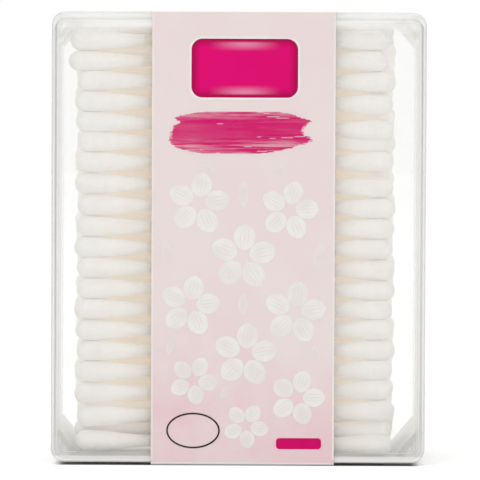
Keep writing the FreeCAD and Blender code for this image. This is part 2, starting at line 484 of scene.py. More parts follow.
@dataclass(frozen=True)
class CottonFinish:
    """Soft white cotton that thins to cream where it meets the stick."""

    white: Colour = (0.95, 0.94, 0.915)
    shaded: Colour = (0.90, 0.885, 0.85)
    neck: Colour = (0.835, 0.765, 0.665)
    strand_scale: float = 950.0
    warmth: float = 0.25
    roughness: Range = (0.88, 1.0)
    relief: float = 0.00015
    relief_share: float = 0.55
    specular: float = 0.1

    # Cream at the neck, where thin cotton shows the stick, and painted shade in the same cream on
    # cotton deep in the stack.
    # Runs are shares of the head's length from its tip.
    thin_from: float = 0.78
    thin_share: float = 0.35
    painted_deep_shade_from: float = 0.35
    painted_deep_shade_run: Range = (0.3, 0.7)

    # Painted glow: emission standing in for light scattered among the swabs, with less of it at the
    # crown
    outer_layer: float = 0.3
    scattered: Colour = (0.87, 0.755, 0.605)
    scatter: float = 0.215
    crown_scatter: float = 0.55
    crown_run: Range = (0.15, 0.6)

    def build(self, effects: SharedEffects) -> bpy.types.Material:
        """Makes the material.

        Args:
            effects: The shared shader groups.

        Returns:
            The cotton material.
        """
        material, build, shader = start_material("Wound cotton")
        fibres = group_node(build, effects.fibres, Strand_Scale=self.strand_scale)
        scattering = group_node(build, effects.scatter, Outer_Layer=self.outer_layer)
        inside = scattering.outputs["Inside"]
        along = build.add("ShaderNodeAttribute", attribute_name="along").outputs["Fac"]
        tone = build.blend(fibres.outputs["Shade"], self.shaded, self.white)
        warm = build.math("MULTIPLY", fibres.outputs["Warmth"], self.warmth)
        toned = build.blend(warm, tone, self.neck)
        thin = build.span(along, self.thin_from, 1.0, 0.0, self.thin_share)
        # Painted shade: cotton deep in the stack turns cream as if shaded by the layers before it
        painted_deep_shade = build.math("MULTIPLY", build.span(inside, self.painted_deep_shade_from, 1.0),
                            build.span(along, *self.painted_deep_shade_run))
        neck_tint_and_deep_shade = build.blend(build.math("MAXIMUM", thin, painted_deep_shade), toned, self.neck)
        build.join(neck_tint_and_deep_shade, shader.inputs["Base Color"])
        roughness = build.span(fibres.outputs["Relief"], 0.3, 0.7, *self.roughness)
        build.join(roughness, shader.inputs["Roughness"])
        relief = build.bump(fibres.outputs["Relief"], self.relief_share, self.relief)
        build.join(relief, shader.inputs["Normal"])
        shader.inputs["Specular IOR Level"].default_value = self.specular
        # Painted glow: the cotton emits light that stands in for light scattered among the swabs
        toward = build.span(along, *self.crown_run, self.crown_scatter, 1.0)
        glow = build.blend(build.math("MULTIPLY", inside, toward), BLACK, self.scattered)
        build.join(glow, shader.inputs["Emission Color"])
        shader.inputs["Emission Strength"].default_value = self.scatter
        return material


@dataclass(frozen=True)
class StickFinish:
    """Rolled paper stick with the faint line of its winding."""

    paper: Colour = (0.82, 0.74, 0.61)
    seam: Colour = (0.70, 0.62, 0.49)
    winding_scale: float = 60.0
    winding_wobble: float = 1.5
    seam_share: float = 0.6
    evenness: float = 0.6
    surface: SheetSurface = SheetSurface(0.6, 0.75, tooth=0.2, depth=0.00003, specular=0.5)

    # Painted glow: emission standing in for light scattered among the swabs
    outer_layer: float = 0.3
    scattered: Colour = (0.86, 0.73, 0.56)
    scatter: float = 0.2

    def build(self, effects: SharedEffects) -> bpy.types.Material:
        """Makes the material.

        Args:
            effects: The shared shader groups.

        Returns:
            The stick material.
        """
        material, build, shader = start_material("Rolled paper stick")
        grain = group_node(build, effects.grain, Mottle_Scale=300.0, Tooth_Scale=3000.0)
        winding = build.add("ShaderNodeTexWave", bands_direction="DIAGONAL")
        build.join(build.place(), winding.inputs["Vector"])
        winding.inputs["Scale"].default_value = self.winding_scale
        winding.inputs["Distortion"].default_value = self.winding_wobble
        line = build.span(winding.outputs["Fac"], 0.9, 1.0, 0.0, self.seam_share)
        mottled = build.blend(grain.outputs["Mottle"], self.paper, self.seam)
        soft = build.blend(self.evenness, mottled, self.paper)
        build.join(build.blend(line, soft, self.seam), shader.inputs["Base Color"])
        self.surface.apply(build, shader, grain)
        # Painted glow: the sticks emit light that stands in for light scattered among the swabs
        scattering = group_node(build, effects.scatter, Outer_Layer=self.outer_layer)
        glow = build.blend(scattering.outputs["Inside"], BLACK, self.scattered)
        build.join(glow, shader.inputs["Emission Color"])
        shader.inputs["Emission Strength"].default_value = self.scatter
        return material


@dataclass(frozen=True)
class BandPaperFinish:
    """Pale pink coated paper with soft clouds of deeper pink lower down."""

    pale: Colour = (0.795, 0.70, 0.69)
    rose: Colour = (0.79, 0.52, 0.57)
    white: Colour = (0.80, 0.745, 0.73)
    highlight_white: Colour = (0.93, 0.925, 0.92)
    surface: SheetSurface = SheetSurface(0.34, 0.46, tooth=0.12, specular=0.2)

    # Rose clouds and the deeper foot fade with height, in metres
    cloud_rise: Range = (0.010, 0.042)
    cloud_share: Range = (0.6, 0.14)
    foot_rise: float = 0.035
    foot_share: float = 0.24
    wash_share: float = 0.6

    # Painted highlight on the folds, where the paper has begun to turn upward and isn't level yet
    wear: float = 0.92
    fold_start: Range = (0.08, 0.35)
    fold_end: Range = (0.9, 0.98)

    def build(self, effects: SharedEffects) -> bpy.types.Material:
        """Makes the material.

        Args:
            effects: The shared shader groups.

        Returns:
            The band's material.
        """
        material, build, shader = start_material("Pink band paper")
        grain = group_node(build, effects.grain, Mottle_Scale=55.0)
        height = build.height()
        fall = build.span(height, *self.cloud_rise, *self.cloud_share)
        clouds = build.math("MULTIPLY", grain.outputs["Mottle"], fall)
        foot = build.span(height, 0.0, self.foot_rise, self.foot_share, 0.0)
        patches = build.noise(build.place((1.0, 1.0, 0.5)), 28.0, 2.0, 0.5)
        wash = build.span(patches, 0.5, 0.8, 0.0, self.wash_share)
        pink = build.blend(build.math("ADD", clouds, foot), self.pale, self.rose)
        printed = build.blend(wash, pink, self.white)
        # Painted highlight: the folds turn nearly white as if catching the light
        dry_ink_and_fold_highlight = build.blend(self.fold_highlight(build), printed, self.highlight_white)
        build.join(dry_ink_and_fold_highlight, shader.inputs["Base Color"])
        self.surface.apply(build, shader, grain)
        return material

    def fold_highlight(self, build: TreeBuilder) -> Socket:
        """Mask of the folds, where a painted highlight turns the print nearly white.

        Args:
            build: The material's tree builder.

        Returns:
            The mask's output.
        """
        upward = build.math("ABSOLUTE", build.parts(build.coordinate("Normal"))[2])
        leaving = build.span(upward, *self.fold_start)
        arriving = build.span(upward, *self.fold_end, 1.0, 0.0)
        return build.math("MULTIPLY", leaving, arriving, self.wear)


@dataclass(frozen=True)
class InkFinish:
    """One ink, laid a little unevenly on the band."""

    name: str
    ink: Colour
    uneven: Colour
    mottle_scale: float = 190.0
    surface: SheetSurface = SheetSurface(0.4, 0.5, specular=0.12)

    def build(self, effects: SharedEffects) -> bpy.types.Material:
        """Makes the material.

        Args:
            effects: The shared shader groups.

        Returns:
            The ink's material.
        """
        material, build, shader = start_material(self.name)
        grain = group_node(build, effects.grain, Mottle_Scale=self.mottle_scale)
        tone = build.blend(grain.outputs["Mottle"], self.ink, self.uneven)
        build.join(tone, shader.inputs["Base Color"])
        self.surface.apply(build, shader, grain)
        return material


@dataclass(frozen=True)
class PlaqueFinish:
    """Deep pink field that darkens to its edges, with a soft sheen near top and bottom."""

    ink: Colour = (0.72, 0.0, 0.16)
    edge: Colour = (0.42, 0.0, 0.075)
    sheen: Colour = (0.80, 0.30, 0.45)

    # The plaque's outline and its darker edge, in millimetres
    centre: float = 1.3
    middle: float = 93.3
    half_width: float = 12.5
    half_height: float = 6.9
    corner: float = 2.6
    edge_depth: float = 2.4
    mottle_share: float = 0.12

    # How far the sheen runs from the middle, sideways and upward, in metres
    sheen_run: float = 0.009
    sheen_share: float = 0.75
    sheen_rise: tuple[float, float, float] = (0.0038, 0.0058, 0.0064)
    surface: SheetSurface = SheetSurface(0.35, 0.45)

    def build(self, effects: SharedEffects) -> bpy.types.Material:
        """Makes the material.

        Args:
            effects: The shared shader groups.

        Returns:
            The plaque's material.
        """
        material, build, shader = start_material("Plaque ink")
        grain = group_node(build, effects.grain, Mottle_Scale=50.0)
        outline = group_node(build, effects.outline, Half_Width=self.half_width,
                             Half_Height=self.half_height, Centre=self.centre,
                             Middle=self.middle, Corner=self.corner)
        inward = build.span(outline.outputs["Depth"], 0.0, self.edge_depth)
        mottle = build.math("MULTIPLY", grain.outputs["Mottle"], self.mottle_share)
        field = build.blend(build.math("SUBTRACT", inward, mottle), self.edge, self.ink)
        build.join(build.blend(self.lips(build), field, self.sheen), shader.inputs["Base Color"])
        self.surface.apply(build, shader, grain)
        return material

    def lips(self, build: TreeBuilder) -> Socket:
        """Mask of the sheen along the plaque's top and bottom.

        Args:
            build: The material's tree builder.

        Returns:
            The mask's output.
        """
        x, _, z = build.parts(build.coordinate())
        across = build.math("ABSOLUTE", build.math("SUBTRACT", x, self.centre * MM))
        rise = build.math("ABSOLUTE", build.math("SUBTRACT", z, self.middle * MM))
        start, crest, stop = self.sheen_rise
        return build.math("MULTIPLY", build.span(rise, start, crest),
                          build.span(rise, crest, stop, 1.0, 0.0),
                          build.span(across, 0.0, self.sheen_run, self.sheen_share, 0.0))


@dataclass(frozen=True)
class BrushInkFinish:
    """Deep pink ink dragged on by a dry brush: full in the middle, streaked above and below."""

    ink: Colour = (0.68, 0.0, 0.15)
    thin: Colour = (0.77, 0.36, 0.45)

    # The stroke's foot and head, and how far up and down from them it is thin, in metres
    foot: float = 0.0733
    head: float = 0.0831
    foot_fade: float = 0.0045
    head_fade: float = 0.0028
    head_share: float = 0.75
    least: float = 0.12
    strength: float = 1.5
    surface: SheetSurface = SheetSurface(0.4, 0.5)

    def build(self, effects: SharedEffects) -> bpy.types.Material:
        """Makes the material.

        Args:
            effects: The shared shader groups.

        Returns:
            The stroke's material.
        """
        material, build, shader = start_material("Brushed pink ink")
        grain = group_node(build, effects.grain, Mottle_Scale=90.0)
        drag = build.noise(build.place((0.07, 1.0, 1.6)), 900.0, 3.0, 0.6)
        height = build.height()
        low = build.span(height, self.foot, self.foot + self.foot_fade, 1.0, 0.0)
        high = build.span(height, self.head - self.head_fade, self.head, 0.0, self.head_share)
        ends = build.math("ADD", build.math("MAXIMUM", low, high), self.least)
        blotch = build.math("ADD", build.math("MULTIPLY", grain.outputs["Mottle"], 0.5), 0.5)
        thinned = build.math("MULTIPLY", build.span(drag, 0.4, 0.65), blotch, ends, self.strength)
        dry_ink_and_fold_highlight = build.blend(build.math("MINIMUM", thinned, 1.0), self.ink, self.thin)
        build.join(dry_ink_and_fold_highlight, shader.inputs["Base Color"])
        self.surface.apply(build, shader, grain)
        return material


@dataclass(frozen=True)
class EdgeLine:
    """One soft line of painted shade at a set depth inward from the outline, in millimetres."""

    depth: float
    half: float
    strength: float

    def draw(self, build: TreeBuilder, inward: Socket) -> Socket:
        """Draws the line.

        Args:
            build: The material's tree builder.
            inward: Depth inward from the outline.

        Returns:
            The line's output.
        """
        off = build.math("ABSOLUTE", build.math("SUBTRACT", inward, self.depth))
        body = build.math("SUBTRACT", 1.0, build.math("DIVIDE", off, self.half))
        return build.math("MULTIPLY", build.math("MAXIMUM", body, 0.0), self.strength)


@dataclass(frozen=True)
class ClearPlasticFinish:
    """Clear moulded polystyrene: hardly there face on, whiter at a slant, with lines of painted
    shade at its edges.
    """

    name: str
    veil: float
    outer_line: EdgeLine
    lines: tuple[EdgeLine, ...]
    body: Colour = (0.94, 0.935, 0.92)
    edge: Colour = (0.27, 0.28, 0.28)
    slant: float = 0.9
    slant_power: float = 6.0
    marks_share: float = 0.04
    specular: float = 0.12

    # How much whiter the plastic is near the top and the foot, as painted reflection, and near the
    # outline
    painted_top_reflection: float = 0.0
    painted_foot_reflection: float = 0.0
    rim_whitening: float = 0.0

    # How far the inner lines drop at the top, and what is left of the lines at foot and top
    top_drop: float = 0.0
    foot_share: float = 1.0
    top_share: float = 1.0

    # How strongly the webs' ends show as painted shade, and how strongly the side walls and the
    # side walls' rims show
    web_ends: float = 0.0
    upper_webs: float = 0.3
    side_veil: float = 0.1
    rim_line: float = 0.35

    # Where each of these begins and ends: heights in metres, depths inward in millimetres
    top_rise: Range = (0.1014, 0.1034)
    top_clearing: Range = (0.1045, 0.1056)
    cleared_share: float = 0.2
    foot_rise: Range = (0.0016, 0.0024)
    rim_depth: Range = (1.9, 2.6)
    line_foot: Range = (0.0025, 0.007)
    line_top: Range = (0.103, 0.1046)
    web_depth: Range = (1.25, 1.5)
    web_rise: Range = (0.04, 0.06)
    web_front: float = -0.01
    wall_rim: Range = (0.0219, 0.0229)
    corner_turn: Range = (0.1, 0.45)

    def build(self, effects: SharedEffects) -> bpy.types.Material:
        """Makes the material.

        Args:
            effects: The shared shader groups.

        Returns:
            The clear plastic material.
        """
        material, build, shader = start_material(self.name)
        marks = group_node(build, effects.handling)
        border = group_node(build, effects.outline)
        lines = self.edge_lines(build, border, effects)
        # Painted shade: grey lines where walls, steps and webs are seen end on
        build.join(build.blend(lines, self.body, self.edge), shader.inputs["Base Color"])
        facing = build.add("ShaderNodeLayerWeight")
        facing.inputs["Blend"].default_value = 0.5
        slanted = build.math("POWER", facing.outputs["Facing"], self.slant_power)
        marked = build.math("MULTIPLY", marks.outputs["Haze"], self.marks_share)
        # The veil includes painted reflection near the top and the foot of the front and back
        veiled = build.math("ADD", build.math("MULTIPLY", slanted, self.slant), marked, self.veil,
                            self.face_whitening(build, border), self.side_walls(build, border))
        build.join(build.math("MAXIMUM", veiled, lines), shader.inputs["Alpha"])
        roughness = build.span(marks.outputs["Haze"], 0.0, 1.0, 0.3, 0.45)
        build.join(roughness, shader.inputs["Roughness"])
        build.join(build.bump(marks.outputs["Ripple"], 0.05, 0.0001), shader.inputs["Normal"])
        shader.inputs["Specular IOR Level"].default_value = self.specular
        return material

    def face_whitening(self, build: TreeBuilder, border: bpy.types.Node) -> Socket:
        """Extra white on the front and back: painted reflection near the top and the foot, and more
        white near the outline.

        Args:
            build: The material's tree builder.
            border: The outline group's node.

        Returns:
            The haze's output.
        """
        height = build.height()
        top = build.math("MULTIPLY", build.span(height, *self.top_rise, 0.0, self.painted_top_reflection),
                         build.span(height, *self.top_clearing, 1.0, self.cleared_share))
        foot = build.span(height, *self.foot_rise, self.painted_foot_reflection, 0.0)
        rim = build.span(border.outputs["Depth"], *self.rim_depth, self.rim_whitening, 0.0)
        return build.math("MULTIPLY", build.math("ADD", top, foot, rim), border.outputs["Face On"])

    def side_walls(self, build: TreeBuilder, border: bpy.types.Node) -> Socket:
        """Veil of the walls that run from front to back, stronger at their rims and corners.

        Args:
            build: The material's tree builder.
            border: The outline group's node.

        Returns:
            The veil's output.
        """
        away = build.math("ABSOLUTE", build.parts(build.coordinate())[1])
        rims = build.span(away, *self.wall_rim, 0.0, self.rim_line)
        across, _, upward = build.parts(build.coordinate("Normal"))
        turned = build.math("ABSOLUTE", build.math("MULTIPLY", across, upward))
        corners = build.span(turned, *self.corner_turn, 0.0, self.rim_line)
        drawn = build.math("ADD", build.math("MAXIMUM", rims, corners), self.side_veil)
        sideways = build.math("SUBTRACT", 1.0, border.outputs["Face On"])
        return build.math("MULTIPLY", drawn, sideways)

    def edge_lines(self, build: TreeBuilder, border: bpy.types.Node,
                   effects: SharedEffects) -> Socket:
        """Thin grey lines of painted shade along the case's outline, where walls and steps are seen
        end on, and over the webs' ends.

        Args:
            build: The material's tree builder.
            border: The outline group's node.
            effects: The shared shader groups.

        Returns:
            The lines' output.
        """
        steps = group_node(build, effects.outline,
                           Half_Height=CASE_HALF_HEIGHT - self.top_drop / 2,
                           Middle=CASE_MIDDLE - self.top_drop / 2)
        inner = [line.draw(build, steps.outputs["Depth"]) for line in self.lines]
        drawn = build.math("MAXIMUM", self.outer_line.draw(build, border.outputs["Depth"]), *inner)
        _, y, height = build.parts(build.coordinate())
        drawn = build.math("MULTIPLY", drawn,
                           build.span(height, *self.line_foot, self.foot_share, 1.0),
                           build.span(height, *self.line_top, 1.0, self.top_share))
        # Painted shade over the webs' ends on the front
        webs = build.math("MULTIPLY", build.math("LESS_THAN", y, self.web_front),
                          build.span(border.outputs["Depth"], *self.web_depth, 0.0, self.web_ends),
                          build.span(height, *self.web_rise, 1.0, self.upper_webs))
        return build.math("MULTIPLY", build.math("MAXIMUM", drawn, webs),
                          border.outputs["Face On"])


LID_PLASTIC = ClearPlasticFinish(
    "Clear lid", 0.195, EdgeLine(0.15, 0.4, 0.4),
    (EdgeLine(1.0, 0.38, 0.8), EdgeLine(1.8, 0.3, 0.24)),
    painted_top_reflection=0.2, painted_foot_reflection=0.5, rim_whitening=0.2, top_drop=0.8, foot_share=0.25, top_share=0.3)
TRAY_PLASTIC = ClearPlasticFinish(
    "Clear tray", 0.02, EdgeLine(0.2, 0.3, 0.12), (EdgeLine(1.2, 0.3, 0.1),),
    slant=0.6, web_ends=0.55, foot_share=0.25)


def dress(piece: bpy.types.Object, material: bpy.types.Material) -> None:
    """Gives a piece one material."""
    piece.data.materials.clear()
    piece.data.materials.append(material)


def mesh_piece(name: str, points: np.ndarray, faces: list, smooth: bool = True) -> bpy.types.Object:
    """Makes a mesh object from points in millimetres.

    Args:
        name: The piece's name.
        points: One row for each vertex, in millimetres.
        faces: Vertex numbers of each face.
        smooth: True for smooth shading.

    Returns:
        The new object.
    """
    mesh = bpy.data.meshes.new(name)
    mesh.from_pydata((points * MM).tolist(), [], faces)
    mesh.validate()
    mesh.polygons.foreach_set("use_smooth", [smooth] * len(mesh.polygons))
    mesh.update()
    piece = bpy.data.objects.new(name, mesh)
    bpy.context.scene.collection.objects.link(piece)
    return piece


def islands(node: str) -> list[np.ndarray]:
    """Splits a CAD node into its separate solids.

    Args:
        node: The node's name.

    Returns:
        The vertices of each solid, in millimetres, lowest solid first.
    """
    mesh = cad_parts[node].data
    spots = np.array([tuple(vertex.co) for vertex in mesh.vertices]) / MM
    keys, where = np.unique(np.round(spots, 3), axis=0, return_inverse=True)
    where = where.reshape(-1)
    owner = list(range(len(keys)))

    def top(item: int) -> int:
        """Finds the group that a corner belongs to.

        Args:
            item: The corner's number.

        Returns:
            The number that stands for its group.
        """
        while owner[item] != item:
            owner[item] = owner[owner[item]]
            item = owner[item]
        return item

    for polygon in mesh.polygons:
        corners = [top(int(where[index])) for index in polygon.vertices]
        for corner in corners[1:]:
            owner[top(corner)] = top(corners[0])
    groups: dict[int, list[int]] = {}
    for item in range(len(keys)):
        groups.setdefault(top(item), []).append(item)
    found = [keys[members] for members in groups.values()]
    return sorted(found, key=lambda part: float(part[:, 2].mean()))


@dataclass
class SwabShape:
    """Sizes of one swab, in millimetres."""

    # Head: the crown is its domed tip, and it is thickest as far as full
    length: float = 75.0
    radius: float = 2.46
    head_length: float = 17.4
    crown: float = 2.7
    full: float = 4.6
    neck_gap: float = 0.03
    rings: int = 26
    sides: int = 26
    ring_crowding: float = 1.35

    # Uneven winding: lumps round the head and the turns of the strand, both fading to the neck
    lumps: tuple[int, ...] = (1, 2, 3, 5)
    lump_depth: Range = (0.004, 0.018)
    lump_drift: float = 0.9
    winding_pitch: float = 1.9
    winding_depth: float = 0.02
    winding_start: float = 1.5
    neck_fade: float = 3.0

    # Loose fibres: how far along they sit, and how far they stand off and reach
    wisps: int = 46
    wisp_first: float = 0.1
    wisp_past_full: float = 3.0
    wisp_lift: Range = (0.05, 0.22)
    wisp_reach: Range = (0.3, 0.8)
    wisp_heading: float = 1.2
    wisp_root: float = 0.03
    wisp_half: float = 0.022

    # Stick
    stick_radius: float = 1.25
    stick_inset: float = 2.0
    stick_rings: int = 7
    stick_sides: int = 16

    def outline(self, along: np.ndarray) -> np.ndarray:
        """Radius of the head, from its domed crown to the neck on the stick.

        Args:
            along: Distances from the head's tip.

        Returns:
            The radii at those distances.
        """
        crown = np.clip(along / self.crown, 0.0, 1.0)
        dome = self.radius * np.sqrt(np.clip(1.0 - (1.0 - crown) ** 2.2, 0.0, 1.0))
        slope = np.clip((along - self.full) / (self.head_length - self.full), 0.0, 1.0)
        ease = slope ** 1.25 / (slope ** 1.25 + 0.9 * (1.0 - slope) ** 1.1)
        neck = self.stick_radius + self.neck_gap
        return dome + (neck - self.radius) * ease

    def head(self, end: End, dice: np.random.Generator) -> tuple[np.ndarray, list, np.ndarray]:
        """One wound head about the swab's own centre.

        Args:
            end: Which end of the swab it sits on.
            dice: Source of its uneven winding.

        Returns:
            Vertices, faces and the share of the head's length at each vertex.
        """
        steps = np.linspace(0.0, 1.0, self.rings)
        along = self.head_length * steps ** self.ring_crowding
        angles = np.linspace(0.0, 2 * math.pi, self.sides, endpoint=False)
        grid_along, grid_angle = np.meshgrid(along, angles, indexing="ij")
        radii = self.outline(grid_along)
        fade = np.clip((self.head_length - grid_along) / self.neck_fade, 0.0, 1.0)
        for turns in self.lumps:
            phase = dice.uniform(0, 2 * math.pi)
            drift = dice.uniform(-self.lump_drift, self.lump_drift)
            depth = dice.uniform(*self.lump_depth) / math.sqrt(turns)
            radii *= 1 + depth * fade * np.sin(turns * grid_angle + drift * grid_along + phase)
        turned = grid_angle + 2 * math.pi * grid_along / self.winding_pitch
        winding = np.sin(turned + dice.uniform(0, 6.28))
        rise = np.clip(grid_along / self.winding_start, 0.0, 1.0)
        radii += self.winding_depth * fade * winding * rise
        radii[0] = 0.0
        across = radii * np.cos(grid_angle)
        up = radii * np.sin(grid_angle)
        x = end.sign * (self.length / 2 - grid_along)
        points = np.stack([x, across, up], axis=-1).reshape(-1, 3)
        faces = []
        for ring in range(self.rings - 1):
            for side in range(self.sides):
                after = (side + 1) % self.sides
                near, far = ring * self.sides, (ring + 1) * self.sides
                face = [near + side, near + after, far + after, far + side]
                if ring == 0:
                    del face[1]
                faces.append(face if end is End.LEFT else face[::-1])
        share = np.repeat(along / self.head_length, self.sides)
        fuzz, strands = self.fuzz(end, dice, len(points))
        shares = np.concatenate([share, np.zeros(len(fuzz))])
        return np.vstack([points, fuzz]), faces + strands, shares

    def fuzz(self, end: End, dice: np.random.Generator, first: int) -> tuple[np.ndarray, list]:
        """Loose fibres that stand off the cotton.

        Args:
            end: Which end of the swab they sit on.
            dice: Source of their places.
            first: Number of the first vertex.

        Returns:
            Vertices and triangles.
        """
        along = dice.uniform(self.wisp_first, self.full + self.wisp_past_full, self.wisps)
        angle = dice.uniform(0, 2 * math.pi, self.wisps)
        radius = self.outline(along) - self.wisp_root
        lift = dice.uniform(*self.wisp_lift, self.wisps)
        reach = dice.uniform(*self.wisp_reach, self.wisps)
        heading = dice.uniform(-self.wisp_heading, self.wisp_heading, self.wisps)
        none, one = np.zeros(self.wisps), np.ones(self.wisps)
        root = np.stack([self.length / 2 - along, radius * np.cos(angle),
                         radius * np.sin(angle)], -1)
        side = np.stack([none, -np.sin(angle), np.cos(angle)], -1)
        out = np.stack([none, np.cos(angle), np.sin(angle)], -1)
        ahead = np.stack([one, none, none], -1)
        cosine, sine = np.cos(heading)[:, None], np.sin(heading)[:, None]
        tip = root + (side * cosine + ahead * sine) * reach[:, None] + out * lift[:, None]
        wide = (ahead * cosine - side * sine) * self.wisp_half
        points = np.stack([root - wide, root + wide, tip], axis=1).reshape(-1, 3)
        points[:, 0] *= end.sign
        corners = range(first, first + 3 * self.wisps, 3)
        return points, [[corner, corner + 1, corner + 2] for corner in corners]

    def stick(self) -> tuple[np.ndarray, list]:
        """The paper stick about the swab's own centre, with its ends inside the heads.

        Returns:
            Vertices and faces.
        """
        sides = self.stick_sides
        half = self.length / 2 - self.stick_inset
        places = np.linspace(-half, half, self.stick_rings)
        angles = np.linspace(0.0, 2 * math.pi, sides, endpoint=False)
        points = [[x, self.stick_radius * math.cos(angle), self.stick_radius * math.sin(angle)]
                  for x in places for angle in angles]
        faces = []
        last = (self.stick_rings - 1) * sides
        for near in range(0, last, sides):
            for side in range(sides):
                far, after = near + sides, (side + 1) % sides
                faces.append([near + side, far + side, far + after, near + after])
        faces.append(list(range(sides)))
        faces.append([last + side for side in reversed(range(sides))])
        return np.array(points), faces


@dataclass
class SwabLayer:
    """One layer of twenty swabs, laid where the CAD layer lies, in millimetres.

    The lifts give each row's height above its CAD place at either end, lowest row first.
    The pushes and slides move single rows back or sideways.
    """

    number: int
    shape: SwabShape
    slack: float = 0.22
    reach: float = 19.62
    left_lift: tuple[float, ...] = ()
    right_lift: tuple[float, ...] = ()
    right_push: RowShifts = ()
    slide: RowShifts = ()

    def places(self, dice: np.random.Generator) -> list[tuple[np.ndarray, np.ndarray]]:
        """Where each swab's two tips lie.

        Args:
            dice: Source of the small slack of each swab.

        Returns:
            The left tip and the right tip of each swab, in millimetres.
        """
        lefts = [part for node in self.nodes(End.LEFT) for part in islands(node)]
        rights = [part for node in self.nodes(End.RIGHT) for part in islands(node)]
        push, slide = dict(self.right_push), dict(self.slide)
        tips = []
        for row, (left, right) in enumerate(zip(lefts, rights)):
            middle = (left.min(0) + left.max(0)) / 2
            start = np.array([left[:, 0].min(), middle[1], middle[2]])
            finish = np.array([right[:, 0].max(), middle[1], middle[2]])
            start[1:] += dice.uniform(-self.slack, self.slack, 2)
            finish[1:] += dice.uniform(-self.slack, self.slack, 2)
            start[1], finish[1] = np.clip((start[1], finish[1]), -self.reach, self.reach)
            if self.left_lift:
                start[2] = middle[2] + self.left_lift[row]
                finish[2] = middle[2] + self.right_lift[row]
            finish[1] += push.get(row, 0.0)
            start[0] += slide.get(row, 0.0)
            finish[0] += slide.get(row, 0.0)
            tips.append((start, finish))
        return tips

    def nodes(self, end: End) -> tuple[str, str]:
        """The CAD nodes of the layer's heads at one end, the lower rows first."""
        stem = f"{end.value}_heads_{self.number:02d}"
        return f"{stem}_lower", f"{stem}_upper"

    def laid(self, points: np.ndarray, start: np.ndarray, finish: np.ndarray) -> np.ndarray:
        """Turns points of a swab about its own centre to where it lies.

        Args:
            points: Vertices about the swab's centre.
            start: Its left tip.
            finish: Its right tip.

        Returns:
            The vertices in place.
        """
        ahead = (finish - start) / np.linalg.norm(finish - start)
        side = np.cross(np.array([0.0, 0.0, 1.0]), ahead)
        side /= np.linalg.norm(side)
        turn = np.stack([ahead, side, np.cross(ahead, side)])
        return (start + finish) / 2 + points @ turn

    def sticks(self, tips: list) -> tuple[np.ndarray, list]:
        """The layer's paper sticks.

        Args:
            tips: Both tips of each swab.

        Returns:
            Vertices and faces.
        """
        base, faces = self.shape.stick()
        points, all_faces = [], []
        for index, (start, finish) in enumerate(tips):
            points.append(self.laid(base, start, finish))
            all_faces += [[corner + index * len(base) for corner in face] for face in faces]
        return np.vstack(points), all_faces

    def heads(self, end: End, tips: list, dice: np.random.Generator,
              cotton: bpy.types.Material) -> bpy.types.Object:
        """The layer's cotton heads at one end as one piece.

        Args:
            end: Which end.
            tips: Both tips of each swab.
            dice: Source of the uneven winding.
            cotton: The heads' material.

        Returns:
            The piece.
        """
        points, faces, shares, first = [], [], [], 0
        for start, finish in tips:
            spots, local, share = self.shape.head(end, dice)
            points.append(self.laid(spots, start, finish))
            faces += [[corner + first for corner in face] for face in local]
            shares.append(share)
            first += len(spots)
        piece = mesh_piece(f"cotton_{end.value}_{self.number:02d}", np.vstack(points), faces)
        along = piece.data.attributes.new("along", "FLOAT", "POINT")
        along.data.foreach_set("value", np.concatenate(shares).astype(np.float32))
        dress(piece, cotton)
        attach(piece, CASE_BODY)
        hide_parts(*self.nodes(end))
        return piece


@dataclass
class SwabStack:
    """All ten layers. The front one follows how its swabs have settled."""

    shape: SwabShape
    front_left: tuple[float, ...] = (0.0, 0.6, 1.1, 1.3, 1.25, 1.2, 1.2, 1.2, 1.2, 0.95,
                                     0.95, 1.0, 1.15, 1.2, 1.1, 0.9, 0.65, 0.55, 0.2, 0.2)
    front_right: tuple[float, ...] = (-0.9, 2.4, 2.3, 2.0, 1.75, 1.6, 1.35, 0.9, 0.75, 0.7,
                                      0.55, 0.4, 0.45, 1.5, 0.85, -1.1, 0.15, 0.4, 0.45, 0.4)
    front_push: RowShifts = ((14, 1.6),)
    front_slide: RowShifts = ((18, -1.9), (19, -1.0))
    second_push: RowShifts = ((0, -2.0),)

    def build(self, cotton: bpy.types.Material,
              paper: bpy.types.Material) -> list[bpy.types.Object]:
        """Builds every layer.

        Args:
            cotton: Material of the heads.
            paper: Material of the sticks.

        Returns:
            All the pieces.
        """
        pieces, sticks = [], []
        for number in range(1, LAYER_COUNT + 1):
            layer = self.layer(number)
            dice = np.random.default_rng(LAYER_SEED + number)
            tips = layer.places(dice)
            for end in End:
                pieces.append(layer.heads(end, tips, dice, cotton))
            sticks.append(layer.sticks(tips))
            if number % 2 == 0:
                pieces.append(self.paired_sticks(number - 1, sticks[-2:], paper))
        return pieces

    def layer(self, number: int) -> SwabLayer:
        """One layer, with the settled places of the front ones.

        Args:
            number: The layer's number from the front.

        Returns:
            The layer.
        """
        layer = SwabLayer(number, self.shape)
        if number == 1:
            layer.left_lift = self.front_left
            layer.right_lift = self.front_right
            layer.right_push = self.front_push
            layer.slide = self.front_slide
        if number == 2:
            layer.right_push = self.second_push
        return layer

    def paired_sticks(self, number: int, parts: list,
                      paper: bpy.types.Material) -> bpy.types.Object:
        """The sticks of two layers as one piece.

        Args:
            number: The first layer's number.
            parts: Vertices and faces of each layer's sticks.
            paper: The sticks' material.

        Returns:
            The piece.
        """
        (points, faces), (more, other) = parts
        faces = faces + [[corner + len(points) for corner in face] for face in other]
        name = f"{number:02d}_{number + 1:02d}"
        piece = mesh_piece(f"rolled_sticks_{name}", np.vstack([points, more]), faces)
        dress(piece, paper)
        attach(piece, CASE_BODY)
        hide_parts(f"sticks_{name}")
        return piece


